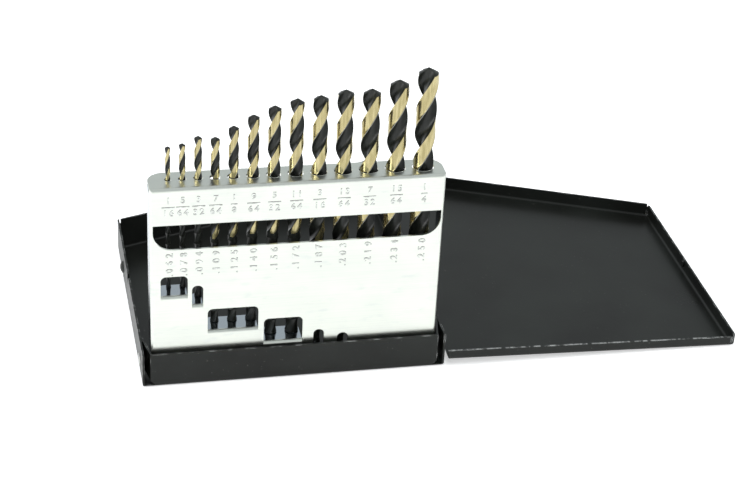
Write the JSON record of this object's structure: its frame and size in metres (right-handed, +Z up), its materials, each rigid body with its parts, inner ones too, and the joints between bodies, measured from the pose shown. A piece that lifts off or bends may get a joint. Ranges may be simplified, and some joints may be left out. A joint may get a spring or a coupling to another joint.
{
  "type": "folding twist drill case",
  "caption": "Flat black sheet-steel drill case: slanted-back tray with side-hinged lid and a fold-up zinc-plated stand of graded twist drills.",
  "frame": {"origin": "a point of the tray's flat underside, in the middle of its width and 45 mm behind its front wall", "axes": "+X from the tray's free wall to the hinge and the open lid, +Y from the front wall to the slanted back, +Z up"},
  "size_m": [0.1974, 0.1248, 0.1026],
  "materials": {
    "case_enamel": "semi-gloss black enamel",
    "zinc_plate": "bright zinc plating",
    "bright_steel": "plain bright steel",
    "drill_steel": "black oxide flutes and shank, lands ground to straw gold"
  },
  "bodies": {
    "tray": {"tray_shell": "case_enamel", "pivot_rivet_free_side": "case_enamel", "pivot_rivet_hinge_side": "case_enamel"},
    "pin": {"hinge_pin": "bright_steel"},
    "lid": {"lid_panel": "case_enamel"},
    "stand": {"drill_stand": "zinc_plate"},
    "bit_1_16": {"drill_1_16": "drill_steel"},
    "bit_5_64": {"drill_5_64": "drill_steel"},
    "bit_3_32": {"drill_3_32": "drill_steel"},
    "bit_7_64": {"drill_7_64": "drill_steel"},
    "bit_1_8": {"drill_1_8": "drill_steel"},
    "bit_9_64": {"drill_9_64": "drill_steel"},
    "bit_5_32": {"drill_5_32": "drill_steel"},
    "bit_11_64": {"drill_11_64": "drill_steel"},
    "bit_3_16": {"drill_3_16": "drill_steel"},
    "bit_13_64": {"drill_13_64": "drill_steel"},
    "bit_7_32": {"drill_7_32": "drill_steel"},
    "bit_15_64": {"drill_15_64": "drill_steel"},
    "bit_1_4": {"drill_1_4": "drill_steel"}
  },
  "joints": [
    {"name": "pin_in_tray", "type": "hinge", "parent": "tray", "child": "pin", "pos_m": [0.04916, 0.015, 0.0078], "axis": [0, 1, 0], "range_deg": [-90.75, 0]},
    {"name": "lid_on_pin", "type": "hinge", "parent": "pin", "child": "lid", "pos_m": [0.04916, 0.015, 0.0078], "axis": [0, 1, 0], "range_deg": [-90.75, 0]},
    {"name": "stand_fold", "type": "hinge", "parent": "tray", "child": "stand", "pos_m": [0, -0.0366, 0.0056], "axis": [1, 0, 0], "range_deg": [-90, 0]},
    {"name": "pull_1_16", "type": "slide", "parent": "stand", "child": "bit_1_16", "axis": [0, 0, 1], "range_m": [0, 0.0437]},
    {"name": "pull_5_64", "type": "slide", "parent": "stand", "child": "bit_5_64", "axis": [0, 0, 1], "range_m": [0, 0.0437]},
    {"name": "pull_3_32", "type": "slide", "parent": "stand", "child": "bit_3_32", "axis": [0, 0, 1], "range_m": [0, 0.0473]},
    {"name": "pull_7_64", "type": "slide", "parent": "stand", "child": "bit_7_64", "axis": [0, 0, 1], "range_m": [0, 0.057]},
    {"name": "pull_1_8", "type": "slide", "parent": "stand", "child": "bit_1_8", "axis": [0, 0, 1], "range_m": [0, 0.057]},
    {"name": "pull_9_64", "type": "slide", "parent": "stand", "child": "bit_9_64", "axis": [0, 0, 1], "range_m": [0, 0.057]},
    {"name": "pull_5_32", "type": "slide", "parent": "stand", "child": "bit_5_32", "axis": [0, 0, 1], "range_m": [0, 0.0625]},
    {"name": "pull_11_64", "type": "slide", "parent": "stand", "child": "bit_11_64", "axis": [0, 0, 1], "range_m": [0, 0.0625]},
    {"name": "pull_3_16", "type": "slide", "parent": "stand", "child": "bit_3_16", "axis": [0, 0, 1], "range_m": [0, 0.0677]},
    {"name": "pull_13_64", "type": "slide", "parent": "stand", "child": "bit_13_64", "axis": [0, 0, 1], "range_m": [0, 0.0695]},
    {"name": "pull_7_32", "type": "slide", "parent": "stand", "child": "bit_7_32", "axis": [0, 0, 1], "range_m": [0, 0.0736]},
    {"name": "pull_15_64", "type": "slide", "parent": "stand", "child": "bit_15_64", "axis": [0, 0, 1], "range_m": [0, 0.0736]},
    {"name": "pull_1_4", "type": "slide", "parent": "stand", "child": "bit_1_4", "axis": [0, 0, 1], "range_m": [0, 0.0736]}
  ]
}
